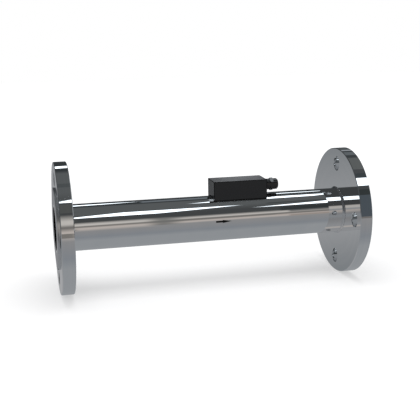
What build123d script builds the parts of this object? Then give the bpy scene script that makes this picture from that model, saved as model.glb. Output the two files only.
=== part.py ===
from build123d import *
import os
from math import cos, radians, sin

# Flanged orifice plate flow meter. The pipe axis is X, the flow runs towards +X, +Z is up
# towards the housing, and the origin is on the pipe axis at mid-length. Millimetres.

# Measuring tube and its two flanges
overall_length = 388.0
tube_radius = 29.2
tube_wall = 2.0
flange_radius = 82.5
flange_rim = 16.0
rim_bevel = 0.8
raised_face_radius = 51.0
raised_face_height = 2.0
bolt_circle_radius = 62.5
bolt_hole_radius = 9.0
bolt_count = 4
hole_bevel = 0.5
socket_shoulder = 5.0
socket_clearance = 0.1
tube_end_gap = 0.3
weld_leg = 2.1
weld_fullness = 0.78
contact_gap = 0.02
cut_overrun = 1.0

# Orifice plate, its rim seal and the rings that hold it
plate_thickness = 3.0
plate_clearance = 0.1
diameter_ratio = 0.7
orifice_land = 0.8
rim_seal_section = 1.2
ring_length = 6.0
ring_wall = 1.6
ring_lead = 0.8

# Pressure taps and temperature probe in the tube
tap_inset = 4.5
tap_radius = 1.25
probe_inset = 12.45
probe_radius = 1.5
probe_reach = 8.0
probe_clearance = 0.2
tap_seal_section = 1.4
tap_seal_radius = 2.5

# Housing cover that straddles the tube
cover_inlet_x = 5.0
cover_length = 70.0
cover_width = 32.4
cover_wall = 2.0
cover_bevel = 0.5
gasket_thickness = 0.7
fit_clearance = 0.25

# Saddle on the tube, inside the cover
saddle_height = 4.8
weld_hole_radius = 2.5
weld_fill = 0.8
weld_hole_inset = 5.5
weld_hole_margin = 0.5

# Differential pressure sensor in the saddle's pocket
sensor_margin = 2.85
sensor_probe_gap = 9.5
sensor_side_gap = 0.65
sensor_height = 4.0
sensor_proud = 1.4
sensor_corner = 1.5
port_radius = 1.5
port_depth = 3.0
port_seal_section = 1.2
port_seal_radius = 2.6
sensor_screw_x = 8.0
sensor_screw_inset = 2.0
sensor_thread_depth = 2.0

# Circuit board on spacers
board_thickness = 1.6
board_margin = 0.75
board_insert_gap = 0.8
board_contact_gap = 0.3
board_corner = 1.0
board_screw_inset = 2.6
spacer_radius = 2.2
board_thread_depth = 3.0
sensor_pin_radius = 0.3
sensor_pin_pitch = 2.54
sensor_pin_count = 6
lead_radius = 0.3
lead_spacing = 2.0
probe_thread_radius = 2.5
probe_thread_depth = 2.5
probe_hex_flats = 8.0
probe_hex_height = 1.4

# M2 cap screws and M2.5 countersunk cover screws
cap_screw_radius = 1.0
cap_head_radius = 1.8
cap_head_height = 1.4
cap_socket_flats = 1.5
cap_socket_depth = 0.7
thread_clearance = 0.05
cover_screw_radius = 1.25
cover_screw_head_radius = 2.35
cover_screw_length = 7.0
cover_screw_socket_flats = 1.5
cover_screw_head_angle = 90
cover_screw_drop = 3.2
rear_screw_spacing = 30.0
end_screw_inset = 2.5

# Round connector on the outlet end wall
neck_radius = 7.0
neck_length = 8.0
connector_hex_flats = 14.4
connector_hex_length = 4.0
connector_hex_root = 1.0
barrel_radius = 7.1
barrel_length = 6.5
barrel_bevel = 1.3
barrel_bore_radius = 4.8
tail_radius = 4.9
tail_length = 7.0
tail_wall = 0.9
insert_clearance = 0.05
insert_recess = 8.0
insert_flange_length = 6.0
insert_tail_overhang = 1.5
insert_key_width = 1.4
insert_key_height = 1.2
insert_key_gap = 0.15
connector_seal_section = 1.0
nut_radius = 6.2
nut_length = 3.0
nut_slot_width = 2.0
nut_slot_depth = 0.8
nut_slot_count = 4
nut_saddle_gap = 0.2
nut_headroom = 1.1
contact_radius = 0.5
contact_offset = 2.2
contact_tip_recess = 1.5
contact_drop_lower = 1.8
contact_drop_upper = 3.6
contact_bend = 0.6

# Places that follow from the sizes above
face_x = overall_length / 2
rim_face_x = face_x - raised_face_height
flange_back_x = rim_face_x - flange_rim
bore_radius = tube_radius - tube_wall
orifice_radius = bore_radius * diameter_ratio
tube_half_length = face_x - socket_shoulder - tube_end_gap
seat_radius = tube_radius + contact_gap

cover_outlet_x = cover_inlet_x + cover_length
cover_mid_x = cover_inlet_x + cover_length / 2
cavity_inlet_x = cover_inlet_x + cover_wall
cavity_outlet_x = cover_outlet_x - cover_wall
cavity_half_width = cover_width / 2 - cover_wall
cover_seat_radius = seat_radius + gasket_thickness + contact_gap

saddle_inlet_x = cavity_inlet_x + fit_clearance
saddle_outlet_x = cavity_outlet_x - fit_clearance
saddle_half_width = cavity_half_width - fit_clearance
saddle_top = tube_radius + saddle_height
pocket_z = saddle_top + sensor_proud - sensor_height
connector_z = saddle_top + nut_saddle_gap + nut_radius
cover_top = connector_z + nut_radius + nut_headroom + cover_wall

probe_x = saddle_outlet_x - probe_inset
sensor_inlet_x = saddle_inlet_x + sensor_margin
sensor_outlet_x = probe_x - sensor_probe_gap
sensor_length = sensor_outlet_x - sensor_inlet_x
plate_x = (sensor_inlet_x + sensor_outlet_x) / 2
tap_places = [(sensor_inlet_x + tap_inset, 0), (sensor_outlet_x - tap_inset, 0)]
weld_hole_y = saddle_half_width - weld_hole_radius - weld_hole_margin
weld_places = [
    (x, way * weld_hole_y)
    for x in (sensor_inlet_x + weld_hole_inset, sensor_outlet_x - weld_hole_inset)
    for way in (-1, 1)
]
seal_cavity_radius = tap_seal_radius + tap_seal_section / 2 + thread_clearance
seal_cavity_z = tube_radius + tap_seal_section + thread_clearance

neck_end_x = cover_outlet_x + neck_length
hex_end_x = neck_end_x + connector_hex_length
barrel_end_x = hex_end_x + barrel_length
tail_end_x = cover_outlet_x - tail_length
insert_face_x = barrel_end_x - insert_recess
insert_step_x = insert_face_x - insert_flange_length
insert_tail_radius = tail_radius - tail_wall - insert_clearance
insert_end_x = tail_end_x - insert_tail_overhang

board_top = connector_z - contact_offset - contact_radius - board_contact_gap
board_bottom = board_top - board_thickness
board_inlet_x = saddle_inlet_x + board_margin
board_outlet_x = insert_end_x - board_insert_gap
board_length = board_outlet_x - board_inlet_x
board_half_width = saddle_half_width - board_margin
board_screw_y = board_half_width - board_screw_inset
board_screw_places = [
    (x, way * board_screw_y)
    for x in (board_inlet_x + board_screw_inset, board_outlet_x - board_screw_inset)
    for way in (-1, 1)
]

sensor_bottom = pocket_z + contact_gap
sensor_top = sensor_bottom + sensor_height
sensor_width = 2 * (board_screw_y - spacer_radius - sensor_side_gap)
sensor_screw_y = sensor_width / 2 - sensor_screw_inset
sensor_screw_places = [
    (plate_x + side * sensor_screw_x, way * sensor_screw_y) for side in (-1, 1) for way in (-1, 1)
]
head_recess = cap_head_height + 2 * thread_clearance

cover_screw_z = saddle_top - cover_screw_drop
end_screw_spacing = 2 * (saddle_half_width - end_screw_inset)
contact_rows = [
    (connector_z - contact_offset, insert_end_x - contact_drop_lower),
    (connector_z + contact_offset, insert_end_x - contact_drop_upper),
]
contact_places = [(side * contact_offset, z) for side in (-1, 1) for z, drop_x in contact_rows]

os.makedirs("parts", exist_ok=True)


# Measuring tube: a plain polished pipe with two tap holes and a probe hole on top
with BuildPart() as measuring_tube:
    with BuildSketch(Plane.YZ.offset(-tube_half_length)):
        Circle(tube_radius)
        Circle(bore_radius, mode=Mode.SUBTRACT)
    extrude(amount=2 * tube_half_length)
    with BuildSketch(Plane.XY):
        with Locations(*tap_places):
            Circle(tap_radius)
        with Locations((probe_x, 0)):
            Circle(probe_radius + probe_clearance)
    extrude(amount=tube_radius + cut_overrun, mode=Mode.SUBTRACT)
measuring_tube.part.label = "measuring_tube"
export_step(measuring_tube.part, "parts/measuring_tube.step")


def flange(side):
    """Plate flange with a raised face, on the inlet (-1) or the outlet (1) side."""
    with BuildPart() as body:
        with BuildSketch(Plane.XY):
            with BuildLine():
                Polyline(
                    (side * face_x, bore_radius),
                    (side * face_x, raised_face_radius),
                    (side * rim_face_x, raised_face_radius),
                    (side * rim_face_x, flange_radius),
                    (side * flange_back_x, flange_radius),
                    (side * flange_back_x, tube_radius + socket_clearance),
                    (side * (face_x - socket_shoulder), tube_radius + socket_clearance),
                    (side * (face_x - socket_shoulder), bore_radius),
                    close=True,
                )
            make_face()
        revolve(axis=Axis.X)
        rim_edges = body.edges().filter_by(GeomType.CIRCLE)
        chamfer(rim_edges.filter_by(lambda edge: abs(edge.radius - flange_radius) < 0.001), rim_bevel)
        with BuildSketch(Plane.YZ.offset(side * flange_back_x)):
            with PolarLocations(bolt_circle_radius, bolt_count):
                Circle(bolt_hole_radius)
        extrude(amount=side * flange_rim, mode=Mode.SUBTRACT)
        hole_edges = body.edges().filter_by(GeomType.CIRCLE)
        chamfer(hole_edges.filter_by(lambda edge: abs(edge.radius - bolt_hole_radius) < 0.001), hole_bevel)
    return body.part


inlet_flange = flange(-1)
inlet_flange.label = "inlet_flange"
export_step(inlet_flange, "parts/inlet_flange.step")
outlet_flange = flange(1)
outlet_flange.label = "outlet_flange"
export_step(outlet_flange, "parts/outlet_flange.step")


def fillet_weld(side):
    """Rounded bead in the corner between the back of a flange and the tube."""
    root = (side * (flange_back_x - contact_gap), seat_radius)
    toe = (root[0] - side * weld_leg, root[1])
    top = (root[0], root[1] + weld_leg)
    crown = weld_fullness * weld_leg
    middle = (root[0] - side * crown * cos(radians(45)), root[1] + crown * sin(radians(45)))
    with BuildPart() as bead:
        with BuildSketch(Plane.XY):
            with BuildLine():
                Line(root, top)
                ThreePointArc(top, middle, toe)
                Line(toe, root)
            make_face()
        revolve(axis=Axis.X)
    return bead.part


inlet_weld = fillet_weld(-1)
inlet_weld.label = "inlet_weld"
export_step(inlet_weld, "parts/inlet_weld.step")
outlet_weld = fillet_weld(1)
outlet_weld.label = "outlet_weld"
export_step(outlet_weld, "parts/outlet_weld.step")

# Orifice plate: sharp edge and short land on the inlet side, then a bevel that opens downstream
plate_inlet_x = plate_x - plate_thickness / 2
plate_outlet_x = plate_x + plate_thickness / 2
plate_radius = bore_radius - plate_clearance
orifice_bevel = plate_thickness - orifice_land
groove_half_width = rim_seal_section / 2 + thread_clearance
groove_radius = bore_radius - rim_seal_section - 2 * contact_gap
with BuildPart() as orifice_plate:
    with BuildSketch(Plane.XY):
        with BuildLine():
            Polyline(
                (plate_inlet_x, orifice_radius),
                (plate_inlet_x, plate_radius),
                (plate_x - groove_half_width, plate_radius),
                (plate_x - groove_half_width, groove_radius),
                (plate_x + groove_half_width, groove_radius),
                (plate_x + groove_half_width, plate_radius),
                (plate_outlet_x, plate_radius),
                (plate_outlet_x, orifice_radius + orifice_bevel),
                (plate_inlet_x + orifice_land, orifice_radius),
                close=True,
            )
        make_face()
    revolve(axis=Axis.X)
orifice_plate.part.label = "orifice_plate"
export_step(orifice_plate.part, "parts/orifice_plate.step")

# O-ring in the groove on the plate's rim
with BuildPart() as plate_seal:
    with BuildSketch(Plane.XY):
        with Locations((plate_x, bore_radius - contact_gap - rim_seal_section / 2)):
            Circle(rim_seal_section / 2)
    revolve(axis=Axis.X)
plate_seal.part.label = "plate_seal"
export_step(plate_seal.part, "parts/plate_seal.step")

# Two rings tacked into the bore, one each side of the plate, with a lead-in for the flow
with BuildPart() as plate_rings:
    with BuildSketch(Plane.XY):
        for side in (-1, 1):
            near = plate_x + side * (plate_thickness / 2 + contact_gap)
            far = near + side * ring_length
            outer = bore_radius - thread_clearance
            with BuildLine():
                Polyline(
                    (near, outer),
                    (far, outer),
                    (far, outer - ring_wall + ring_lead),
                    (far - side * 2 * ring_lead, outer - ring_wall),
                    (near, outer - ring_wall),
                    close=True,
                )
            make_face()
    revolve(axis=Axis.X)
plate_rings.part.label = "plate_retaining_rings"
export_step(plate_rings.part, "parts/plate_retaining_rings.step")

# Mounting saddle: a block whose underside is hollowed to the tube, with everything bored in it
with BuildPart() as mounting_saddle:
    with BuildSketch(Plane.XY):
        with Locations(((saddle_inlet_x + saddle_outlet_x) / 2, 0)):
            Rectangle(saddle_outlet_x - saddle_inlet_x, 2 * saddle_half_width)
    extrude(amount=saddle_top)
    with BuildSketch(Plane.YZ.offset(saddle_inlet_x - cut_overrun)):
        Circle(seat_radius)
    extrude(amount=saddle_outlet_x - saddle_inlet_x + 2 * cut_overrun, mode=Mode.SUBTRACT)
    # sensor pocket
    with BuildSketch(Plane.XY.offset(pocket_z)):
        with Locations((plate_x, 0)):
            RectangleRounded(
                sensor_length + 2 * fit_clearance, sensor_width + 2 * fit_clearance, sensor_corner
            )
    extrude(amount=saddle_top - pocket_z, mode=Mode.SUBTRACT)
    # tap holes, probe hole and the seal cavities under them
    with Locations(*[(x, y, saddle_top) for x, y in tap_places]):
        Hole(tap_radius, saddle_top)
    with Locations((probe_x, 0, saddle_top)):
        CounterBoreHole(
            probe_radius + probe_clearance,
            probe_thread_radius + thread_clearance,
            probe_thread_depth + thread_clearance,
            saddle_top,
        )
    with BuildSketch(Plane.XY):
        with Locations(*tap_places, (probe_x, 0)):
            Circle(seal_cavity_radius)
    extrude(amount=seal_cavity_z, mode=Mode.SUBTRACT)
    # windows for the plug welds, and threads for the sensor, the board and the cover
    with Locations(*[(x, y, saddle_top) for x, y in weld_places]):
        Hole(weld_hole_radius, saddle_top)
    with Locations(*[(x, y, pocket_z) for x, y in sensor_screw_places]):
        Hole(cap_screw_radius + thread_clearance, sensor_thread_depth + thread_clearance)
    with Locations(*[(x, y, saddle_top) for x, y in board_screw_places]):
        Hole(cap_screw_radius + thread_clearance, board_thread_depth + thread_clearance)
    # side and end threads for the cover's screws
    rear_side = Plane(
        origin=(cover_mid_x, saddle_half_width, cover_screw_z), x_dir=(1, 0, 0), z_dir=(0, 1, 0)
    )
    with Locations(rear_side):
        with GridLocations(rear_screw_spacing, 1, 2, 1):
            Hole(cover_screw_radius + thread_clearance, cover_screw_length - cover_wall)
    outlet_end = Plane(origin=(saddle_outlet_x, 0, cover_screw_z), x_dir=(0, 1, 0), z_dir=(1, 0, 0))
    with Locations(outlet_end):
        with GridLocations(end_screw_spacing, 1, 2, 1):
            Hole(cover_screw_radius + thread_clearance, cover_screw_length - cover_wall)
mounting_saddle.part.label = "mounting_saddle"
export_step(mounting_saddle.part, "parts/mounting_saddle.step")

# Plug welds in the saddle's windows, standing on the tube
with BuildPart() as saddle_plug_welds:
    with BuildSketch(Plane.XY):
        with Locations(*weld_places):
            Circle(weld_hole_radius - thread_clearance)
    extrude(amount=tube_radius + weld_fill)
    with BuildSketch(Plane.YZ.offset(saddle_inlet_x)):
        Circle(seat_radius)
    extrude(amount=saddle_outlet_x - saddle_inlet_x, mode=Mode.SUBTRACT)
saddle_plug_welds.part.label = "saddle_plug_welds"
export_step(saddle_plug_welds.part, "parts/saddle_plug_welds.step")


def seal_rings(places, height, section, radius):
    """O-rings that lie flat at the given height of their middle."""
    rings = []
    for x, y in places:
        with BuildPart() as ring:
            with BuildSketch(Plane(origin=(x, y, height), x_dir=(1, 0, 0), z_dir=(0, -1, 0))):
                with Locations((radius, 0)):
                    Circle(section / 2)
            revolve(axis=Axis((x, y, 0), (0, 0, 1)))
        rings.append(ring.part.solid())
    return Compound(children=rings) if len(rings) > 1 else rings[0]


tap_seal_z = tube_radius + contact_gap + tap_seal_section / 2
tap_seals = seal_rings(tap_places, tap_seal_z, tap_seal_section, tap_seal_radius)
tap_seals.label = "tap_seals"
export_step(tap_seals, "parts/tap_seals.step")
probe_seal = seal_rings([(probe_x, 0)], tap_seal_z, tap_seal_section, tap_seal_radius)
probe_seal.label = "probe_seal"
export_step(probe_seal, "parts/probe_seal.step")
port_seal_z = pocket_z + contact_gap + port_seal_section / 2
port_seals = seal_rings(tap_places, port_seal_z, port_seal_section, port_seal_radius)
port_seals.label = "sensor_port_seals"
export_step(port_seals, "parts/sensor_port_seals.step")

# Differential pressure sensor: its two ports meet the tap holes
port_groove_inner = port_seal_radius - port_seal_section / 2 - thread_clearance
port_groove_outer = port_seal_radius + port_seal_section / 2 + thread_clearance
with BuildPart() as pressure_sensor:
    with BuildSketch(Plane.XY.offset(sensor_bottom)):
        with Locations((plate_x, 0)):
            RectangleRounded(sensor_length, sensor_width, sensor_corner)
    extrude(amount=sensor_height)
    with BuildSketch(Plane.XY.offset(sensor_bottom)):
        with Locations(*tap_places):
            Circle(port_radius)
    extrude(amount=port_depth, mode=Mode.SUBTRACT)
    with BuildSketch(Plane.XY.offset(sensor_bottom)):
        with Locations(*tap_places):
            Circle(port_groove_outer)
            Circle(port_groove_inner, mode=Mode.SUBTRACT)
    extrude(amount=port_seal_section + thread_clearance, mode=Mode.SUBTRACT)
    with Locations(*[(x, y, sensor_top) for x, y in sensor_screw_places]):
        CounterBoreHole(
            cap_screw_radius + thread_clearance,
            cap_head_radius + thread_clearance,
            head_recess,
            sensor_height,
        )
pressure_sensor.part.label = "pressure_sensor"
export_step(pressure_sensor.part, "parts/pressure_sensor.step")


def cap_screws(places, head_z, tip_z):
    """Small cap screws with a hexagon socket, standing upright, heads at one height."""
    with BuildPart() as screws:
        with BuildSketch(Plane.XY.offset(head_z)):
            with Locations(*places):
                Circle(cap_head_radius)
        extrude(amount=cap_head_height)
        with BuildSketch(Plane.XY.offset(tip_z)):
            with Locations(*places):
                Circle(cap_screw_radius)
        extrude(amount=head_z - tip_z)
        with BuildSketch(Plane.XY.offset(head_z + cap_head_height)):
            with Locations(*places):
                RegularPolygon(cap_socket_flats / 2, 6, major_radius=False)
        extrude(amount=-cap_socket_depth, mode=Mode.SUBTRACT)
    return screws.part


sensor_screws = cap_screws(
    sensor_screw_places, sensor_top - head_recess + contact_gap, pocket_z - sensor_thread_depth
)
sensor_screws.label = "sensor_screws"
export_step(sensor_screws, "parts/sensor_screws.step")
board_screws = cap_screws(board_screw_places, board_top + contact_gap, saddle_top - board_thread_depth)
board_screws.label = "board_screws"
export_step(board_screws, "parts/board_screws.step")

# Pins from the sensor up to the board
with BuildPart() as sensor_pins:
    with BuildSketch(Plane.XY.offset(sensor_top)):
        with Locations((plate_x, 0)):
            with GridLocations(sensor_pin_pitch, 1, sensor_pin_count, 1):
                Circle(sensor_pin_radius)
    extrude(amount=board_bottom - sensor_top)
sensor_pins.part.label = "sensor_pins"
export_step(sensor_pins.part, "parts/sensor_pins.step")

# Temperature probe: closed sheath, threaded body and hexagon in one turned piece
probe_tip_z = bore_radius - probe_reach
probe_body_z = saddle_top - probe_thread_depth
probe_edge_x = probe_x + probe_radius
with BuildPart() as temperature_probe:
    with BuildSketch(Plane.XZ):
        with BuildLine():
            Polyline(
                (probe_x, saddle_top + contact_gap),
                (probe_x + probe_thread_radius, saddle_top + contact_gap),
                (probe_x + probe_thread_radius, probe_body_z),
                (probe_edge_x, probe_body_z),
                (probe_edge_x, probe_tip_z + probe_radius),
            )
            RadiusArc((probe_edge_x, probe_tip_z + probe_radius), (probe_x, probe_tip_z), probe_radius)
            Line((probe_x, probe_tip_z), (probe_x, saddle_top + contact_gap))
        make_face()
    revolve(axis=Axis((probe_x, 0, 0), (0, 0, 1)))
    with BuildSketch(Plane.XY.offset(saddle_top + contact_gap)):
        with Locations((probe_x, 0)):
            RegularPolygon(probe_hex_flats / 2, 6, major_radius=False)
    extrude(amount=probe_hex_height)
temperature_probe.part.label = "temperature_probe"
export_step(temperature_probe.part, "parts/temperature_probe.step")

# The probe's two leads up to the board
probe_top = saddle_top + contact_gap + probe_hex_height
with BuildPart() as probe_leads:
    with BuildSketch(Plane.XY.offset(probe_top)):
        with Locations((probe_x, 0)):
            with GridLocations(1, lead_spacing, 1, 2):
                Circle(lead_radius)
    extrude(amount=board_bottom - probe_top)
probe_leads.part.label = "probe_leads"
export_step(probe_leads.part, "parts/probe_leads.step")

# Spacers and the circuit board on them
with BuildPart() as board_spacers:
    with BuildSketch(Plane.XY.offset(saddle_top)):
        with Locations(*board_screw_places):
            Circle(spacer_radius)
            Circle(cap_screw_radius + thread_clearance, mode=Mode.SUBTRACT)
    extrude(amount=board_bottom - saddle_top)
board_spacers.part.label = "board_spacers"
export_step(board_spacers.part, "parts/board_spacers.step")
with BuildPart() as circuit_board:
    with BuildSketch(Plane.XY.offset(board_bottom)):
        with Locations((board_inlet_x + board_length / 2, 0)):
            RectangleRounded(board_length, 2 * board_half_width, board_corner)
        with Locations(*board_screw_places):
            Circle(cap_screw_radius + thread_clearance, mode=Mode.SUBTRACT)
    extrude(amount=board_thickness)
circuit_board.part.label = "circuit_board"
export_step(circuit_board.part, "parts/circuit_board.step")

# Components on the board: length, width, height and place from the board's inlet edge
chips = [
    (10.0, 10.0, 1.6, 26.0, 2.0),
    (6.0, 5.0, 1.4, 38.0, 6.0),
    (6.0, 6.0, 3.0, 14.0, -6.5),
    (4.0, 4.0, 1.0, 37.5, -5.0),
]
capacitors = [(2.5, 5.4, 12.5, 6.0), (2.0, 5.4, 18.0, 7.0)]
with BuildPart() as board_components:
    for length, width, height, place, across in chips:
        with BuildSketch(Plane.XY.offset(board_top)):
            with Locations((board_inlet_x + place, across)):
                Rectangle(length, width)
        extrude(amount=height)
    for radius, height, place, across in capacitors:
        with BuildSketch(Plane.XY.offset(board_top)):
            with Locations((board_inlet_x + place, across)):
                Circle(radius)
        extrude(amount=height)
board_components.part.label = "board_components"
export_step(board_components.part, "parts/board_components.step")

# Gasket under the cover's walls, curved to the tube
with BuildPart() as housing_gasket:
    with BuildSketch(Plane.XY):
        with Locations((cover_mid_x, 0)):
            Rectangle(cover_length - 2 * cover_bevel, cover_width - 2 * cover_bevel)
            Rectangle(cover_length - 2 * cover_wall, cover_width - 2 * cover_wall, mode=Mode.SUBTRACT)
    extrude(amount=tube_radius + 2 * gasket_thickness)
    with BuildSketch(Plane.YZ.offset(cover_inlet_x)):
        Circle(seat_radius)
    extrude(amount=cover_length, mode=Mode.SUBTRACT)
    with BuildSketch(Plane.YZ.offset(cover_inlet_x)):
        Circle(seat_radius + gasket_thickness)
    extrude(amount=cover_length, mode=Mode.INTERSECT)
housing_gasket.part.label = "housing_gasket"
export_step(housing_gasket.part, "parts/housing_gasket.step")

# Housing cover: a bevelled box, open below, its walls cut to the round of the tube
with BuildPart() as housing_cover:
    with BuildSketch(Plane.XY):
        with Locations((cover_mid_x, 0)):
            Rectangle(cover_length, cover_width)
    extrude(amount=cover_top)
    upright_edges = housing_cover.edges().filter_by(Axis.Z)
    top_edges = housing_cover.faces().sort_by(Axis.Z)[-1].edges()
    chamfer(upright_edges + top_edges, cover_bevel)
    with BuildSketch(Plane.XY):
        with Locations((cover_mid_x, 0)):
            Rectangle(cover_length - 2 * cover_wall, cover_width - 2 * cover_wall)
    extrude(amount=cover_top - cover_wall, mode=Mode.SUBTRACT)
    with BuildSketch(Plane.YZ.offset(cover_inlet_x - cut_overrun)):
        Circle(cover_seat_radius)
    extrude(amount=cover_length + 2 * cut_overrun, mode=Mode.SUBTRACT)
    rear_wall = Plane(origin=(cover_mid_x, cover_width / 2, cover_screw_z), x_dir=(1, 0, 0), z_dir=(0, 1, 0))
    with Locations(rear_wall):
        with GridLocations(rear_screw_spacing, 1, 2, 1):
            CounterSinkHole(
                cover_screw_radius + thread_clearance,
                cover_screw_head_radius + thread_clearance,
                2 * cover_wall,
                cover_screw_head_angle,
            )
    end_wall = Plane(origin=(cover_outlet_x, 0, cover_screw_z), x_dir=(0, 1, 0), z_dir=(1, 0, 0))
    with Locations(end_wall):
        with GridLocations(end_screw_spacing, 1, 2, 1):
            CounterSinkHole(
                cover_screw_radius + thread_clearance,
                cover_screw_head_radius + thread_clearance,
                2 * cover_wall,
                cover_screw_head_angle,
            )
    with BuildSketch(Plane.YZ.offset(cavity_outlet_x - cut_overrun)):
        with Locations((0, connector_z)):
            Circle(tail_radius + fit_clearance)
    extrude(amount=cover_wall + 2 * cut_overrun, mode=Mode.SUBTRACT)
housing_cover.part.label = "housing_cover"
export_step(housing_cover.part, "parts/housing_cover.step")

# Four countersunk screws, two through the rear wall and two through the outlet end wall
head_depth = cover_screw_head_radius - cover_screw_radius
with BuildPart() as cover_screws:
    for wall, spacing in ((rear_wall, rear_screw_spacing), (end_wall, end_screw_spacing)):
        with BuildSketch(wall):
            with GridLocations(spacing, 1, 2, 1):
                Circle(cover_screw_radius)
        extrude(amount=-(cover_screw_length - thread_clearance))
        with BuildSketch(wall):
            with GridLocations(spacing, 1, 2, 1):
                Circle(cover_screw_head_radius)
        extrude(amount=-head_depth, taper=cover_screw_head_angle / 2)
        with BuildSketch(wall):
            with GridLocations(spacing, 1, 2, 1):
                RegularPolygon(cover_screw_socket_flats / 2, 6, major_radius=False)
        extrude(amount=-head_depth, mode=Mode.SUBTRACT)
cover_screws.part.label = "cover_screws"
export_step(cover_screws.part, "parts/cover_screws.step")

# Connector shell: neck, hexagon and round front part outside, threaded tail through the end wall
connector_axis = Axis((0, 0, connector_z), (1, 0, 0))
connector_plane = Plane.XY.offset(connector_z)
seal_groove_radius = tail_radius + connector_seal_section + 2 * thread_clearance
seal_groove_x = cover_outlet_x + connector_seal_section + thread_clearance
with BuildPart() as connector_shell:
    with BuildSketch(connector_plane):
        with BuildLine():
            Polyline(
                (tail_end_x, tail_radius - tail_wall),
                (tail_end_x, tail_radius),
                (seal_groove_x, tail_radius),
                (seal_groove_x, seal_groove_radius),
                (cover_outlet_x, seal_groove_radius),
                (cover_outlet_x, neck_radius),
                (neck_end_x, neck_radius),
                (hex_end_x, neck_radius),
                (hex_end_x, barrel_radius),
                (barrel_end_x - barrel_bevel, barrel_radius),
                (barrel_end_x, barrel_radius - barrel_bevel),
                (barrel_end_x, barrel_bore_radius),
                (insert_step_x, barrel_bore_radius),
                (insert_step_x, tail_radius - tail_wall),
                close=True,
            )
        make_face()
    revolve(axis=connector_axis)
    with BuildSketch(Plane.YZ.offset(neck_end_x)):
        with Locations((0, connector_z)):
            RegularPolygon(connector_hex_flats / 2, 6, major_radius=False, rotation=30)
            Circle(neck_radius - connector_hex_root, mode=Mode.SUBTRACT)
    extrude(amount=connector_hex_length)
connector_shell.part.label = "connector_shell"
export_step(connector_shell.part, "parts/connector_shell.step")

# Insert with a key, and four contacts that bend down to the board
key_radius = barrel_bore_radius - insert_clearance - insert_key_height / 2 - insert_key_gap
contact_tip_x = barrel_end_x - contact_tip_recess
with BuildPart() as connector_insert:
    with BuildSketch(connector_plane):
        with BuildLine():
            Polyline(
                (insert_end_x, 0),
                (insert_end_x, insert_tail_radius),
                (insert_step_x + insert_clearance, insert_tail_radius),
                (insert_step_x + insert_clearance, barrel_bore_radius - insert_clearance),
                (insert_face_x, barrel_bore_radius - insert_clearance),
                (insert_face_x, 0),
                close=True,
            )
        make_face()
    revolve(axis=connector_axis)
    with BuildSketch(Plane.YZ.offset(insert_face_x)):
        with Locations((0, connector_z - key_radius)):
            Rectangle(insert_key_width, insert_key_height)
    extrude(amount=contact_tip_x - insert_face_x)
    with BuildSketch(Plane.YZ.offset(insert_end_x)):
        with Locations(*contact_places):
            Circle(contact_radius + contact_gap)
    extrude(amount=insert_face_x - insert_end_x, mode=Mode.SUBTRACT)
connector_insert.part.label = "connector_insert"
export_step(connector_insert.part, "parts/connector_insert.step")
contacts = []
for side in (-1, 1):
    for z, drop_x in contact_rows:
        y = side * contact_offset
        with BuildPart() as contact:
            with BuildLine(Plane(origin=(0, y, 0), x_dir=(1, 0, 0), z_dir=(0, -1, 0))) as path:
                FilletPolyline((contact_tip_x, z), (drop_x, z), (drop_x, board_top), radius=contact_bend)
            with BuildSketch(Plane(origin=(contact_tip_x, y, z), z_dir=(-1, 0, 0))):
                Circle(contact_radius)
            sweep(path=path.wires()[0])
        contacts.append(contact.part.solid())
connector_pins = Compound(children=contacts)
connector_pins.label = "connector_pins"
export_step(connector_pins, "parts/connector_pins.step")

# O-ring in the neck's groove, and the slotted nut inside the cover
with BuildPart() as connector_seal:
    with BuildSketch(connector_plane):
        with Locations(
            (
                cover_outlet_x + connector_seal_section / 2 + contact_gap,
                tail_radius + contact_gap + connector_seal_section / 2,
            )
        ):
            Circle(connector_seal_section / 2)
    revolve(axis=connector_axis)
connector_seal.part.label = "connector_seal"
export_step(connector_seal.part, "parts/connector_seal.step")
with BuildPart() as connector_nut:
    with BuildSketch(Plane.YZ.offset(cavity_outlet_x - nut_length)):
        with Locations((0, connector_z)):
            Circle(nut_radius)
            Circle(tail_radius + thread_clearance, mode=Mode.SUBTRACT)
            with PolarLocations(nut_radius, nut_slot_count, start_angle=180 / nut_slot_count):
                Rectangle(2 * nut_slot_depth, nut_slot_width, mode=Mode.SUBTRACT)
    extrude(amount=nut_length)
connector_nut.part.label = "connector_nut"
export_step(connector_nut.part, "parts/connector_nut.step")
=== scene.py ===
from math import cos, pi, radians, sin

import bmesh
import bpy
from mathutils import Matrix, Vector


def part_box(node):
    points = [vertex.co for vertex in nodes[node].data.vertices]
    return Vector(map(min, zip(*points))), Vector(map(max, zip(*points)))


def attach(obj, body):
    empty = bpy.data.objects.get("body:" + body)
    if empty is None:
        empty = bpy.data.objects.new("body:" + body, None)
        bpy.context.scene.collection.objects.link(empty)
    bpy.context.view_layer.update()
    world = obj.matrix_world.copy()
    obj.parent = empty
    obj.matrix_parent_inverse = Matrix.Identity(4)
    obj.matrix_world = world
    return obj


# An orifice plate flow meter with polished flanges and a black sensor housing. Metres.

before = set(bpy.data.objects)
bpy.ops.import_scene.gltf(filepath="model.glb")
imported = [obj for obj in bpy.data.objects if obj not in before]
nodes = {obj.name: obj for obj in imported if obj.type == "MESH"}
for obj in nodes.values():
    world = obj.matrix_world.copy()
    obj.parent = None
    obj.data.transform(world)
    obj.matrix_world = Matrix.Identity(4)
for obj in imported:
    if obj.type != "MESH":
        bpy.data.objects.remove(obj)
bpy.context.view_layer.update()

MM = 0.001


def low(node):
    """Lowest corner of a node of the frame."""
    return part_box(node)[0]


def high(node):
    """Highest corner of a node of the frame."""
    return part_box(node)[1]


# Sizes read from the frame, with the flanges' bolt circle, holes and raised faces
tube_radius = high("measuring_tube").z
floor_z = low("inlet_flange").z
bolt_circle_radius = 62.5 * MM
hole_radius = 9.0 * MM
raised_height = 2.0 * MM
raised_x = high("outlet_flange").x - raised_height


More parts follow.
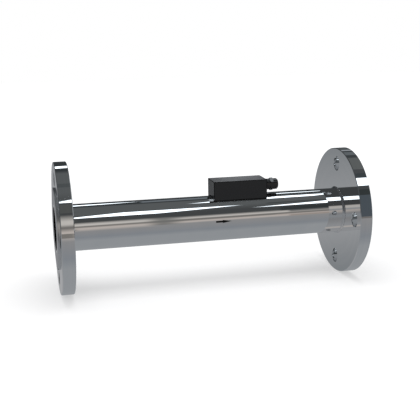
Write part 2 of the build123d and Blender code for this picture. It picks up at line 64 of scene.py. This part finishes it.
def srgb(red, green, blue, level=1.0):
    """Linear colour of an 8-bit sRGB colour, times a level."""
    def linear(value):
        value = value / 255
        return value / 12.92 if value <= 0.04045 else ((value + 0.055) / 1.055) ** 2.4
    return tuple(linear(value) * level for value in (red, green, blue)) + (1.0,)


def darker(colour, share):
    """Linear colour with its channels turned down to a share."""
    return tuple(channel * share for channel in colour[:3]) + (1.0,)


class Tree:
    """Short calls for building a node tree."""

    def __init__(self, tree):
        self.tree = tree
        tree.nodes.clear()

    def add(self, kind, inputs=None, **settings):
        """New node with its settings, and its inputs fed by name."""
        node = self.tree.nodes.new(kind)
        for name, value in settings.items():
            setattr(node, name, value)
        for name, value in (inputs or {}).items():
            self.feed(node.inputs[name], value)
        return node

    def feed(self, socket, value):
        """Link another node's socket, or set a plain value."""
        if isinstance(value, bpy.types.NodeSocket):
            self.tree.links.new(value, socket)
        else:
            socket.default_value = value

    def math(self, operation, first, second=0.0, third=0.0):
        node = self.add("ShaderNodeMath", operation=operation)
        for socket, value in zip(node.inputs, (first, second, third)):
            self.feed(socket, value)
        return node.outputs[0]

    def fold(self, operation, values):
        """One result from several values, taken in turn by an operation."""
        result, *others = values
        for value in others:
            result = self.math(operation, result, value)
        return result

    def product(self, *values):
        return self.fold("MULTIPLY", values)

    def largest(self, *values):
        return self.fold("MAXIMUM", values)

    def dot(self, vector, direction):
        node = self.add("ShaderNodeVectorMath", operation="DOT_PRODUCT")
        self.feed(node.inputs[0], vector)
        node.inputs[1].default_value = direction
        return node.outputs["Value"]

    def length(self, first, second):
        squares = self.math("ADD", self.math("POWER", first, 2.0), self.math("POWER", second, 2.0))
        return self.math("SQRT", squares)

    def split(self, vector):
        """The three parts of a vector."""
        node = self.add("ShaderNodeSeparateXYZ", inputs={"Vector": vector})
        return [node.outputs[axis] for axis in "XYZ"]

    def smooth(self, value, start, end, at_start=0.0, at_end=1.0):
        """Smooth step of a value from one edge to another."""
        inputs = {
            "Value": value,
            "From Min": start,
            "From Max": end,
            "To Min": at_start,
            "To Max": at_end,
        }
        return self.add("ShaderNodeMapRange", inputs, interpolation_type="SMOOTHSTEP").outputs[0]

    def ramp(self, value, stops):
        """Colour between stops of a position and a colour."""
        node = self.add("ShaderNodeValToRGB", inputs={"Fac": value})
        elements = node.color_ramp.elements
        while len(elements) > 1:
            elements.remove(elements[-1])
        elements[0].position, elements[0].color = stops[0]
        for position, colour in stops[1:]:
            elements.new(position).color = colour
        return node.outputs["Color"]

    def mix(self, factor, first, second):
        """Mix of two colours: a Mix node has its colours at inputs 6 and 7 and output 2."""
        node = self.add("ShaderNodeMix", data_type="RGBA")
        for index, value in ((0, factor), (6, first), (7, second)):
            self.feed(node.inputs[index], value)
        return node.outputs[2]

    def object_place(self):
        """Place on the object in metres."""
        return self.add("ShaderNodeTexCoord").outputs["Object"]

    def surface(self, shader, kind="ShaderNodeOutputMaterial"):
        """Output node that shows a shader."""
        self.add(kind, inputs={"Surface": shader.outputs[0]})


# Camera
photo_width = 420
focal_pixels = 838.72
sensor_width = 36.0
near_clip = 0.05
camera_place = Vector((-0.24672, -1.02280, 0.24474))
camera_azimuth = radians(13.404)
camera_elevation = radians(-0.556)
camera_roll = radians(-3.916)
camera_dip = radians(13.457)


def make_camera():
    """Camera at the photograph's place, turned, rolled and then dipped about the pipe's direction."""
    forward = Vector(
        (
            sin(camera_azimuth) * cos(camera_elevation),
            cos(camera_azimuth) * cos(camera_elevation),
            -sin(camera_elevation),
        )
    )
    right = forward.cross(Vector((0, 0, 1))).normalized()
    up = right.cross(forward)
    rolled_right = cos(camera_roll) * right + sin(camera_roll) * up
    rolled_up = -sin(camera_roll) * right + cos(camera_roll) * up
    dip = Matrix.Rotation(-camera_dip, 3, "X")
    axes = [dip @ vector for vector in (rolled_right, rolled_up, -forward)]
    camera_data = bpy.data.cameras.new("camera")
    camera_data.sensor_width = sensor_width
    camera_data.lens = focal_pixels / photo_width * sensor_width
    camera_data.clip_start = near_clip
    camera = bpy.data.objects.new("camera", camera_data)
    bpy.context.scene.collection.objects.link(camera)
    rotation = Matrix(axes).transposed()
    camera.matrix_world = Matrix.Translation(camera_place) @ rotation.to_4x4()
    bpy.context.scene.camera = camera


make_camera()

# Light on matt surfaces, the camera's white, and the share of its light that the steel gives back
plain_light = (0.85, 0.85, 0.86, 1.0)
camera_white = (1.0, 1.0, 1.0, 1.0)
steel_level = 0.80

# Studio seen in the metal: bands of grey by the angle about the pipe (0 towards the viewer's
# horizon, 90 up, 180 the far horizon, -90 down), other bands towards the outlet and towards
# the inlet, then panels that cover a part of the length and white softboxes over them
studio_colours = {
    "far_wall": (118, 122, 125),
    "floor": (140, 143, 146),
    "bright_floor": (150, 151, 153),
    "near_floor": (126, 130, 135),
    "front": (134, 134, 135),
    "bench": (178, 170, 164),
    "gap": (112, 109, 106),
    "shelf": (184, 180, 175),
    "low_ceiling": (64, 66, 67),
    "ceiling": (84, 87, 88),
    "dark": (50, 54, 56),
}
floor_bands = [
    (-180, "far_wall"),
    (-163, "bright_floor"),
    (-148, "floor"),
    (-60, "floor"),
    (-40, "near_floor"),
    (-10, "front"),
]
ceiling_bands = [
    (50, "low_ceiling"),
    (75, "ceiling"),
    (119, "ceiling"),
    (128, "dark"),
    (174, "dark"),
    (180, "far_wall"),
]
middle_bands = [
    *floor_bands,
    (2, "bench"),
    (6, "bench"),
    (12.5, "gap"),
    (14.5, "gap"),
    (19, "shelf"),
    (24, "shelf"),
    (35, "low_ceiling"),
    *ceiling_bands,
]
outlet_bands = [
    *floor_bands,
    (-4, "front"),
    (3, "bench"),
    (6, "bench"),
    (11, "gap"),
    (16, "gap"),
    (20, "shelf"),
    (22, "shelf"),
    (32, "low_ceiling"),
    *ceiling_bands,
]
inlet_bands = [
    (-180, "far_wall"),
    (-172, "far_wall"),
    (-166, "bright_floor"),
    (-162, "far_wall"),
    (-140, "bright_floor"),
    (-75, "bright_floor"),
    (-37, "front"),
    (-20, "floor"),
    (-8, "front"),
    (6, "bench"),
    (14, "floor"),
    (21, "shelf"),
    (30, "shelf"),
    (35, "low_ceiling"),
    (175, "low_ceiling"),
    (180, "far_wall"),
]
# shares along the pipe between which these bands take over from the middle ones
outlet_turn = (0.155, 0.175)
inlet_turn = (-0.20, -0.26)

# spans along the pipe that several panels share, as a share of the direction
edge_span = (-0.2, 0.074)
right_span = (0.325, 1.2)
outlet_span = (0.375, 1.2)
# a panel's span along the pipe, its lowest and highest angle, and its colour
panels = {
    "edge_brown": (*edge_span, -4.0, 3.5, (117, 114, 110)),
    "edge_grey": (*edge_span, 38.0, 53.0, (76, 78, 77)),
    "edge_dip": (*edge_span, 86.0, 94.0, (73, 77, 78)),
    "low_dark": (0.315, 1.2, 28.5, 47.0, (50, 54, 55)),
    "right_beige": (0.31, 1.2, 5.0, 10.5, (163, 154, 148)),
    "right_low": (*right_span, -2.0, 5.0, (146, 137, 131)),
    "right_dim": (*right_span, 17.0, 23.0, (140, 137, 133)),
    "right_dark": (*right_span, 23.0, 28.5, (92, 93, 93)),
    "tube_line": (0.30, 0.375, 69.5, 76.0, (64, 68, 69)),
    "top_line": (*outlet_span, 69.5, 80.0, (58, 63, 66)),
    "top_line_upper": (*outlet_span, 80.0, 89.0, (69, 71, 73)),
    "top_right": (0.30, 0.375, 158.0, 184.0, (66, 70, 71)),
    "top_band": (*outlet_span, 89.0, 119.0, (89, 92, 92)),
    "blue_screen": (0.376, 1.2, -3.0, 36.5, (71, 78, 84)),
    "screen_foot": (0.376, 1.2, -6.0, -3.0, (108, 106, 104)),
    "rear_gap": (0.155, 0.294, 133.0, 149.0, (103, 109, 114)),
    "far_low": (*outlet_span, 121.0, 130.0, (58, 62, 64)),
    "far_middle": (*outlet_span, 130.0, 143.0, (92, 97, 100)),
    "far_gap": (*outlet_span, 143.0, 148.5, (50, 54, 57)),
    "far_high": (*outlet_span, 148.5, 156.0, (138, 142, 146)),
    "far_top": (*outlet_span, 155.0, 172.0, (76, 80, 82)),
    "back_card": (0.236, 0.297, 150.0, 178.0, (164, 167, 171)),
    "housing_side": (-0.29, -0.19, -180.0, -155.0, (98, 100, 103)),
    "low_line": (-0.46, -0.26, -99.0, -85.0, (178, 173, 169)),
}
panel_edge = 0.006

# the bench and shelf bands fade out and back over a short length of the pipe
fade_along = (0.150, 0.177, 0.206)
fade_angles = (-6.0, -1.0, 29.0, 36.0)
fade_colour = (108, 108, 106)
fade_share = 0.85

# shares along the pipe between which the plain ends of the studio take over
inlet_end = (-0.60, -0.80)
inlet_end_horizon = (-0.15, 0.05)
inlet_end_grey = (132, 135, 138)
inlet_end_dark = (70, 73, 76)
outlet_end = (0.62, 0.85)
outlet_end_grey = (140, 143, 146)

# corners of the softboxes, each a share along the pipe and an angle
softboxes = {
    "front": [(0.046, 56.2), (0.172, 55.9), (0.267, 71.0), (0.13, 72.4)],
    "front_far": [(0.283, 53.6), (0.48, 54.8), (0.56, 68.8), (0.383, 69.6)],
    "upper": [(0.208, 100.0), (0.35, 101.8), (0.372, 113.4), (0.262, 113.0)],
    "rear": [(0.03, 135.2), (0.115, 140.8), (0.15, 147.4), (0.085, 147.6), (0.03, 142.4)],
    "rear_far": [(0.297, 138.4), (0.352, 138.8), (0.362, 143.2), (0.31, 144.2)],
    "inlet_side": [(-0.30, 62.0), (-0.52, 60.0), (-0.56, 78.0), (-0.33, 82.0)],
    "inlet_upper": [(-0.19, 108.0), (-0.34, 108.0), (-0.36, 123.0), (-0.21, 125.0)],
}
softbox_edge = 0.012
softbox_light = (2.3, 2.5, 2.65, 1.0)


def direction(along, angle):
    """Direction with the given share along the pipe, at an angle in degrees about it."""
    across = (1 - along * along) ** 0.5
    return Vector((along, -cos(radians(angle)) * across, sin(radians(angle)) * across))


def softbox_mask(tree, vector, corners):
    """1 inside the great circles through a softbox's corners, 0 outside."""
    points = [direction(*corner) for corner in corners]
    middle = sum(points, Vector()).normalized()
    sides = []
    for first, second in zip(points, points[1:] + points[:1]):
        normal = first.cross(second).normalized()
        if normal.dot(middle) < 0:
            normal = -normal
        sides.append(tree.smooth(tree.dot(vector, normal), -softbox_edge / 2, softbox_edge / 2))
    return tree.product(*sides)


def studio_light(colour):
    """Light that shows as the given colour in the steel."""
    return srgb(*colour, 1 / steel_level)


def band_stops(bands):
    """Stops of a ramp over one turn about the pipe, from -180 to 180 degrees."""
    return [((degrees + 180) / 360, studio_light(studio_colours[name])) for degrees, name in bands]


def make_world():
    """White for the camera, a plain pale light for matt surfaces, the studio for polished ones."""
    world = bpy.data.worlds.new("studio")
    bpy.context.scene.world = world
    world.use_nodes = True
    tree = Tree(world.node_tree)
    vector = tree.add("ShaderNodeTexCoord").outputs["Generated"]
    along, across, upward = tree.split(vector)
    angle = tree.math("ARCTAN2", upward, tree.math("MULTIPLY", across, -1.0))
    turn = tree.math("MULTIPLY_ADD", angle, 0.5 / pi, 0.5)
    studio = tree.ramp(turn, band_stops(middle_bands))
    for turning, bands in ((outlet_turn, outlet_bands), (inlet_turn, inlet_bands)):
        studio = tree.mix(tree.smooth(along, *turning), studio, tree.ramp(turn, band_stops(bands)))
    fade_start, fade_middle, fade_end = fade_along
    lowest, full_from, full_to, highest = (radians(edge) for edge in fade_angles)
    fade = tree.product(
        fade_share,
        tree.smooth(along, fade_start, fade_middle),
        tree.smooth(along, fade_end, fade_middle),
        tree.smooth(angle, lowest, full_from),
        tree.smooth(angle, highest, full_to),
    )
    studio = tree.mix(fade, studio, studio_light(fade_colour))
    for start, end, low_angle, high_angle, colour in panels.values():
        sides = [tree.smooth(along, start - panel_edge, start)]
        for value, edge, inward in (
            (along, end, -panel_edge),
            (angle, radians(low_angle), panel_edge),
            (angle, radians(high_angle), -panel_edge),
        ):
            sides.append(tree.smooth(value, edge - inward, edge + inward))
        studio = tree.mix(tree.product(*sides), studio, studio_light(colour))
    masks = [softbox_mask(tree, vector, corners) for corners in softboxes.values()]
    studio = tree.mix(tree.largest(*masks), studio, softbox_light)
    inlet_grey = tree.mix(
        tree.smooth(upward, *inlet_end_horizon),
        studio_light(inlet_end_grey),
        studio_light(inlet_end_dark),
    )
    studio = tree.mix(tree.smooth(along, *inlet_end), studio, inlet_grey)
    studio = tree.mix(tree.smooth(along, *outlet_end), studio, studio_light(outlet_end_grey))
    rays = tree.add("ShaderNodeLightPath").outputs
    shiny = tree.largest(rays["Is Glossy Ray"], rays["Is Transmission Ray"])
    light = tree.mix(shiny, plain_light, studio)
    colour = tree.mix(rays["Is Camera Ray"], light, camera_white)
    background = tree.add("ShaderNodeBackground", inputs={"Color": colour, "Strength": 1.0})
    tree.surface(background, "ShaderNodeOutputWorld")


make_world()

# Spans of the noise's values between which a material goes from dark to light
noise_span = (0.3, 0.7)
speckle_span = (0.35, 0.65)

principled_sockets = {
    "colour": "Base Color",
    "metallic": "Metallic",
    "roughness": "Roughness",
    "ior": "IOR",
    "normal": "Normal",
    "specular": "Specular IOR Level",
}


def new_material(name):
    material = bpy.data.materials.new(name)
    material.use_nodes = True
    return material, Tree(material.node_tree)


def principled(tree, **inputs):
    """Principled shader as the material's surface, its inputs given by short names."""
    named = {principled_sockets[name]: value for name, value in inputs.items()}
    tree.surface(tree.add("ShaderNodeBsdfPrincipled", inputs=named))


def object_coordinates(tree, scale=(1.0, 1.0, 1.0)):
    """Place on the object in metres, stretched by the given scale."""
    mapping = tree.add("ShaderNodeMapping", inputs={"Vector": tree.object_place(), "Scale": scale})
    return mapping.outputs[0]


def noise(tree, vector, scale, detail=2.0):
    inputs = {"Vector": vector, "Scale": scale, "Detail": detail, "Roughness": 0.5}
    return tree.add("ShaderNodeTexNoise", inputs).outputs["Fac"]


def mottle(tree, value, dark, light, span=noise_span):
    """Colour that goes from dark to light over a span of the noise's values."""
    return tree.ramp(value, list(zip(span, (dark, light))))


def bump(tree, height, strength, distance):
    inputs = {"Height": height, "Strength": strength, "Distance": distance}
    return tree.add("ShaderNodeBump", inputs).outputs[0]


# Polished tube
streak_scale = (6.0, 900.0, 900.0)
steel_light = (0.815, 0.815, 0.82, 1)
tube_dark = (0.775, 0.785, 0.795, 1)


def polished_tube():
    """Drawn tube polished to a mirror: faint streaks along it and a slight change of sheen."""
    material, tree = new_material("polished_tube")
    streaks = noise(tree, object_coordinates(tree, streak_scale), 1.0, 3.0)
    clouds = noise(tree, object_coordinates(tree), 30.0, 3.0)
    principled(
        tree,
        colour=mottle(tree, clouds, tube_dark, steel_light),
        metallic=1.0,
        roughness=tree.smooth(streaks, *noise_span, 0.008, 0.02),
        normal=bump(tree, streaks, 0.02, 0.00001),
    )
    return material


# Turned steel, with the edges of the masks for the painted shade on the inlet flange's hole walls and
# for the raised faces
ring_scale = 2600.0
wide_ring_scale = 160.0
turned_dark = (0.77, 0.78, 0.79, 1)
hole_wall_edges = (hole_radius + 0.2 * MM, hole_radius + 0.05 * MM)
# painted shade: near-black grey for the inlet flange's bolt-hole walls
hole_wall_painted_shade = (0.1, 0.1, 0.1, 1)
inlet_half = (0.01, 0.0)
raised_face_start = (raised_x, raised_x + 0.05 * MM)
raised_face_inside = (tube_radius, tube_radius + 2 * MM)
raised_face_grey = (0.68, 0.68, 0.69, 1)
raised_face_roughness = 0.3


def flange_masks(tree, along, across, upward, radius):
    """Masks of the painted shade on the inlet flange's hole walls and of the raised faces."""
    side = tree.math("ABSOLUTE", across)
    height = tree.math("ABSOLUTE", upward)
    hole_distance = tree.math(
        "MINIMUM",
        tree.length(tree.math("SUBTRACT", side, bolt_circle_radius), height),
        tree.length(side, tree.math("SUBTRACT", height, bolt_circle_radius)),
    )
    hole_shade_mask = tree.product(tree.smooth(hole_distance, *hole_wall_edges), tree.smooth(along, *inlet_half))
    face = tree.product(
        tree.smooth(tree.math("ABSOLUTE", along), *raised_face_start),
        tree.smooth(radius, *raised_face_inside),
    )
    return hole_shade_mask, face


def turned_steel(name, low_roughness, high_roughness, ring_strength, depth, flange=False):
    """Faced on a lathe and polished: rings about the pipe's axis in the sheen and in a low relief."""
    material, tree = new_material(name)
    along, across, upward = tree.split(tree.object_place())
    radius = tree.length(across, upward)
    ring_place = tree.add("ShaderNodeCombineXYZ", inputs={"X": radius, "Y": along, "Z": 0.0}).outputs[0]
    rings = noise(tree, ring_place, ring_scale)
    tint = mottle(tree, noise(tree, ring_place, wide_ring_scale), turned_dark, steel_light)
    sheen = tree.smooth(rings, *noise_span, low_roughness, high_roughness)
    if flange:
        # painted shade: the bolt holes' walls are darkened at the inlet; the raised faces are matt
        hole_shade_mask, face = flange_masks(tree, along, across, upward, radius)
        tint = tree.mix(hole_shade_mask, tint, hole_wall_painted_shade)
        tint = tree.mix(face, tint, raised_face_grey)
        sheen = tree.largest(sheen, tree.product(face, raised_face_roughness))
    relief = bump(tree, rings, ring_strength, depth)
    principled(tree, colour=tint, metallic=1.0, roughness=sheen, normal=relief)
    return material


def weld_metal():
    """Weld bead polished over, with the ripples still felt along it."""
    material, tree = new_material("weld_metal")
    ripples = noise(tree, object_coordinates(tree), 420.0)
    principled(
        tree,
        colour=mottle(tree, ripples, (0.62, 0.62, 0.63, 1), (0.76, 0.76, 0.77, 1)),
        metallic=1.0,
        roughness=tree.smooth(ripples, *noise_span, 0.12, 0.22),
        normal=bump(tree, ripples, 0.4, 0.0002),
    )
    return material


def satin_metal(name, colour, roughness):
    """Machined metal inside the housing."""
    material, tree = new_material(name)
    speckle = noise(tree, object_coordinates(tree), 1800.0, 3.0)
    principled(
        tree,
        colour=mottle(tree, speckle, darker(colour, 0.85), colour),
        metallic=1.0,
        roughness=tree.smooth(speckle, *noise_span, roughness, roughness * 1.4),
        normal=bump(tree, speckle, 0.1, 0.00002),
    )
    return material


# Painted shade, near-black and matt, on the housing's edges, on a strip of its ends along the rear edge
# and on the connector's front
edge_width = 0.9 * MM
edge_full = 0.6 * edge_width
strip_start = 6.0 * MM
strip_full = 5.0 * MM
front_depth = 1.5 * MM
front_blend = 0.1 * MM
painted_shade_black = (0.002, 0.002, 0.002, 1)
painted_shade_specular = 0.05


def edge_shade_mask(tree, places, corners):
    """Mask of the painted shade: 1 along a box's edges and on a strip of its ends along the rear edge,
    0 elsewhere.
    """
    near = []
    for value, low_end, high_end in zip(places, *corners):
        middle = (low_end + high_end) / 2
        half = (high_end - low_end) / 2
        offset = tree.math("ABSOLUTE", tree.math("SUBTRACT", value, middle))
        near.append(tree.smooth(offset, half - edge_width, half - edge_full))
    pairs = [tree.product(first, second) for first, second in zip(near, near[1:] + near[:1])]
    rear_y = corners[1].y
    rear = tree.smooth(places[1], rear_y - strip_start, rear_y - strip_full)
    return tree.largest(*pairs, tree.product(near[0], rear))


def coated_black(name, base, roughness, specular=0.5, box=None, front=None):
    """Black coating with a fine grain, and a painted shade, near-black and matt, on a given box's edges
    or beyond a given place along.
    """
    material, tree = new_material(name)
    place = tree.object_place()
    speckle = noise(tree, place, 3200.0)
    clouds = noise(tree, place, 40.0)
    places = tree.split(place)
    # painted shade: near-black and matt on the box's edges and rear strip, or beyond a place along
    if box:
        painted_shade = edge_shade_mask(tree, places, box)
    else:
        painted_shade = tree.smooth(places[0], front - front_blend, front)
    colour = mottle(tree, speckle, darker(base, 0.8), base, speckle_span)
    principled(
        tree,
        colour=tree.mix(painted_shade, colour, painted_shade_black),
        metallic=0.0,
        ior=1.5,
        specular=tree.smooth(painted_shade, 0.0, 1.0, specular, painted_shade_specular),
        roughness=tree.smooth(clouds, *noise_span, roughness, roughness * 1.25),
        normal=bump(tree, speckle, 0.12, 0.00003),
    )
    return material


def plain_plastic(name, base, roughness, specular=0.5):
    """Moulded plastic, rubber or laminate with a slight mottle."""
    material, tree = new_material(name)
    spots = noise(tree, object_coordinates(tree), 900.0, 3.0)
    principled(
        tree,
        colour=mottle(tree, spots, darker(base, 0.8), base),
        specular=specular,
        roughness=tree.smooth(spots, *noise_span, roughness, roughness * 1.2),
        normal=bump(tree, spots, 0.15, 0.00005),
    )
    return material


finishes = {
    "tube": polished_tube(),
    "flange": turned_steel("turned_flange", 0.015, 0.035, 0.02, 0.00001, flange=True),
    "weld": weld_metal(),
    "plate": turned_steel("turned_plate", 0.18, 0.28, 0.15, 0.00004),
    # painted shade on the housing's edges and on a strip of its ends along the rear edge
    "housing": coated_black("black_housing", srgb(25, 26, 28), 0.2, box=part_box("housing_cover")),
    # painted shade: the connector's front, its last 1.5 mm, near-black and matt
    "connector": coated_black(
        "black_connector",
        srgb(15, 15, 17),
        0.1,
        specular=0.65,
        front=high("connector_shell").x - front_depth,
    ),
    "saddle": satin_metal("milled_steel", (0.58, 0.58, 0.59, 1), 0.3),
    "screws": satin_metal("screw_steel", (0.30, 0.30, 0.31, 1), 0.28),
    "gold": satin_metal("gold_plate", (0.9, 0.68, 0.3, 1), 0.18),
    "brass": satin_metal("turned_brass", (0.8, 0.62, 0.3, 1), 0.28),
    "nickel": satin_metal("nickel_plate", (0.68, 0.66, 0.6, 1), 0.22),
    "aluminium": satin_metal("milled_aluminium", (0.75, 0.76, 0.78, 1), 0.35),
    "rubber": plain_plastic("sealing_rubber", srgb(24, 24, 25), 0.55),
    "carrier": plain_plastic("contact_carrier", srgb(26, 26, 28), 0.42),
    "component": plain_plastic("component_black", srgb(30, 30, 32), 0.5),
    "board": plain_plastic("green_laminate", srgb(20, 84, 46), 0.3),
}
finish_of = {
    "measuring_tube": "tube",
    "inlet_flange": "flange",
    "outlet_flange": "flange",
    "inlet_weld": "weld",
    "outlet_weld": "weld",
    "saddle_plug_welds": "weld",
    "orifice_plate": "plate",
    "plate_retaining_rings": "plate",
    "temperature_probe": "plate",
    "mounting_saddle": "saddle",
    "housing_cover": "housing",
    "connector_shell": "connector",
    "connector_insert": "carrier",
    "connector_pins": "gold",
    "sensor_pins": "gold",
    "probe_leads": "gold",
    "sensor_screws": "screws",
    "board_screws": "screws",
    "cover_screws": "screws",
    "connector_nut": "nickel",
    "board_spacers": "brass",
    "pressure_sensor": "aluminium",
    "circuit_board": "board",
    "board_components": "component",
    "plate_seal": "rubber",
    "tap_seals": "rubber",
    "probe_seal": "rubber",
    "sensor_port_seals": "rubber",
    "connector_seal": "rubber",
    "housing_gasket": "rubber",
}
for name, piece in nodes.items():
    for slot in piece.material_slots:
        slot.material = finishes[finish_of[name]]

# Printed arrow on the front of the tube that shows the way of the flow
arrow_start = 3.9 * MM
arrow_length = 20.5 * MM
arrow_head_length = 11.8 * MM
arrow_half_shaft = 1.15 * MM
arrow_half_head = 2.0 * MM
arrow_half_tip = 0.01 * MM
arrow_angle = radians(3.0)
steps_along = 14
steps_across = 6
print_thickness = 0.04 * MM
print_levels = (tube_radius + 0.25 * print_thickness, tube_radius + print_thickness)


def arrow_outline():
    """Places along the arrow with its half width at each: the shaft, then the head."""
    tip = arrow_start + arrow_length
    neck = tip - arrow_head_length
    outline = []
    for step in range(steps_along + 1):
        outline.append((arrow_start + (neck - arrow_start) * step / steps_along, arrow_half_shaft))
    for step in range(steps_along + 1):
        x = neck + arrow_head_length * step / steps_along
        outline.append((x, max(arrow_half_head * (tip - x) / arrow_head_length, arrow_half_tip)))
    return outline


def flow_arrow():
    """Arrow as a thin film that follows the tube's round."""
    mesh = bmesh.new()
    rows = []
    for x, half in arrow_outline():
        for level in print_levels:
            row = []
            for step in range(steps_across + 1):
                offset = half * (2 * step / steps_across - 1)
                turn = arrow_angle + offset / tube_radius
                row.append(mesh.verts.new((x, -level * cos(turn), level * sin(turn))))
            rows.append(row)
    for index in range(0, len(rows) - 2, 2):
        lower, upper, next_lower, next_upper = rows[index:index + 4]
        for step in range(steps_across):
            mesh.faces.new((upper[step], next_upper[step], next_upper[step + 1], upper[step + 1]))
            mesh.faces.new((lower[step], lower[step + 1], next_lower[step + 1], next_lower[step]))
        for step in (0, steps_across):
            mesh.faces.new((lower[step], next_lower[step], next_upper[step], upper[step]))
    for lower, upper in (rows[:2], rows[-2:]):
        for step in range(steps_across):
            mesh.faces.new((lower[step], upper[step], upper[step + 1], lower[step + 1]))
    bmesh.ops.recalc_face_normals(mesh, faces=mesh.faces)
    data = bpy.data.meshes.new("flow_arrow")
    mesh.to_mesh(data)
    mesh.free()
    piece = bpy.data.objects.new("flow_arrow", data)
    bpy.context.scene.collection.objects.link(piece)
    piece.data.materials.append(plain_plastic("printing_ink", srgb(6, 6, 6), 0.4, specular=0.15))
    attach(piece, "root")


flow_arrow()

# Pale floor that keeps the object's shadow and turns white away from it
floor_size = 8.0
floor_gap = 0.0001
floor_grey = (0.5, 0.5, 0.5, 1)
glow_distances = (0.45, 1.3)
glow_strengths = (0.46, 0.75)


def make_floor():
    bpy.ops.mesh.primitive_plane_add(size=floor_size, location=(0, 0, floor_z - floor_gap))
    floor = bpy.context.object
    floor.name = "floor"
    material, tree = new_material("pale_floor")
    distance = tree.add("ShaderNodeVectorMath", operation="LENGTH")
    tree.feed(distance.inputs[0], tree.object_place())
    diffuse = tree.add("ShaderNodeBsdfDiffuse", inputs={"Color": floor_grey})
    strength = tree.smooth(distance.outputs["Value"], *glow_distances, *glow_strengths)
    glow = tree.add("ShaderNodeEmission", inputs={"Color": (1, 1, 1, 1), "Strength": strength})
    both = tree.add("ShaderNodeAddShader")
    for socket, shader in zip(both.inputs, (diffuse, glow)):
        tree.feed(socket, shader.outputs[0])
    tree.surface(both)
    floor.data.materials.append(material)
    floor.visible_glossy = False
    floor.visible_transmission = False
    floor.visible_diffuse = False


make_floor()

# Large soft lamp above the object
lamp_place = Vector((0.0, -0.1, 1.5))
lamp_size = (1.1, 1.0)
lamp_power = 12.0


def make_lamp():
    """Lamp aimed at the origin, which metal doesn't mirror."""
    data = bpy.data.lights.new("top_lamp", "AREA")
    data.shape = "RECTANGLE"
    data.size, data.size_y = lamp_size
    data.energy = lamp_power
    lamp = bpy.data.objects.new("top_lamp", data)
    lamp.location = lamp_place
    lamp.rotation_euler = (Vector() - lamp_place).to_track_quat("-Z", "Y").to_euler()
    lamp.visible_glossy = False
    bpy.context.scene.collection.objects.link(lamp)


make_lamp()

scene = bpy.context.scene
scene.view_settings.view_transform = "Standard"
